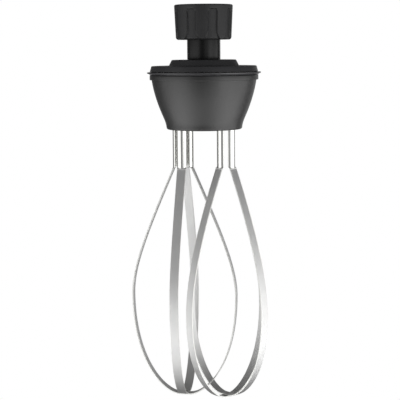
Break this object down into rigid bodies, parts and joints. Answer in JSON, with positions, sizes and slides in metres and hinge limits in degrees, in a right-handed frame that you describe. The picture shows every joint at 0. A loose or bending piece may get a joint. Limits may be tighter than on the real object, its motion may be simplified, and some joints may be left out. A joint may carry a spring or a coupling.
{
  "type": "immersion blender whisk attachment",
  "caption": "Double balloon whisk attachment with a ribbed locking collar and a conical gearbox that turns the interlocking whisks against each other.",
  "frame": {"origin": "centre of the locking collar's top rim, where the power unit enters", "axes": "+Z along the input axis towards the power unit, +X from the left whisk to the right whisk as seen from the front"},
  "size_m": [0.1286, 0.1056, 0.3701],
  "materials": {
    "collar_plastic": "fine-grained satin black plastic",
    "neck_plastic": "smooth glossy black plastic",
    "cover_plastic": "satin black plastic",
    "bowl_plastic": "satin black plastic",
    "plate_plastic": "natural glass-filled plastic",
    "gear_nylon": "natural nylon",
    "gasket_rubber": "black rubber",
    "spring_steel": "dark spring steel",
    "plated_steel": "turned steel",
    "bearing_steel": "ground bearing steel",
    "bush_bronze": "sintered bronze",
    "strip_steel": "polished stainless spring strip"
  },
  "bodies": {
    "housing": {"neck_tube": "neck_plastic", "collar_snap_ring": "spring_steel", "neck_nut": "plated_steel", "upper_cover": "cover_plastic", "rim_gasket": "gasket_rubber", "gearbox_bowl": "bowl_plastic", "bearing_plate": "plate_plastic", "bearing_circlip": "spring_steel", "input_upper_bearing": "bearing_steel", "input_lower_bearing": "bearing_steel", "shaft_seal": "gasket_rubber", "left_upper_bearing": "bearing_steel", "right_upper_bearing": "bearing_steel", "left_lower_bush": "bush_bronze", "right_lower_bush": "bush_bronze", "left_spindle_seal": "gasket_rubber", "right_spindle_seal": "gasket_rubber", "housing_screw_front": "plated_steel", "housing_screw_back": "plated_steel", "plate_screw_1": "plated_steel", "plate_screw_2": "plated_steel", "plate_screw_3": "plated_steel", "plate_screw_4": "plated_steel"},
    "collar": {"locking_collar": "collar_plastic"},
    "left_whisk": {"left_spindle": "plated_steel", "left_hub": "plated_steel", "left_outer_loop": "strip_steel", "left_inner_loop": "strip_steel", "drive_gear": "gear_nylon", "left_sync_gear": "plated_steel", "left_gear_circlip": "spring_steel"},
    "right_whisk": {"right_spindle": "plated_steel", "right_hub": "plated_steel", "right_outer_loop": "strip_steel", "right_inner_loop": "strip_steel", "right_sync_gear": "plated_steel", "right_spacer": "plated_steel", "right_gear_circlip": "spring_steel"},
    "input": {"pinion_shaft": "plated_steel", "drive_coupling": "plated_steel", "coupling_pin": "plated_steel"}
  },
  "joints": [
    {"name": "collar_turn", "type": "hinge", "parent": "housing", "child": "collar", "pos_m": [0, 0, -0.0279], "axis": [0, 0, 1], "continuous": true},
    {"name": "left_spin", "type": "hinge", "parent": "housing", "child": "left_whisk", "pos_m": [-0.02, 0, -0.0983], "axis": [0, 0, 1], "continuous": true},
    {"name": "right_spin", "type": "hinge", "parent": "housing", "child": "right_whisk", "pos_m": [0.02, 0, -0.0983], "axis": [0, 0, 1], "continuous": true},
    {"name": "input_spin", "type": "hinge", "parent": "housing", "child": "input", "pos_m": [0, 0, -0.0556], "axis": [0, 0, 1], "continuous": true}
  ],
  "couplings": [
    {"joint": "right_spin", "follows": "left_spin", "ratio": -1},
    {"joint": "input_spin", "follows": "left_spin", "ratio": -2.3333}
  ]
}
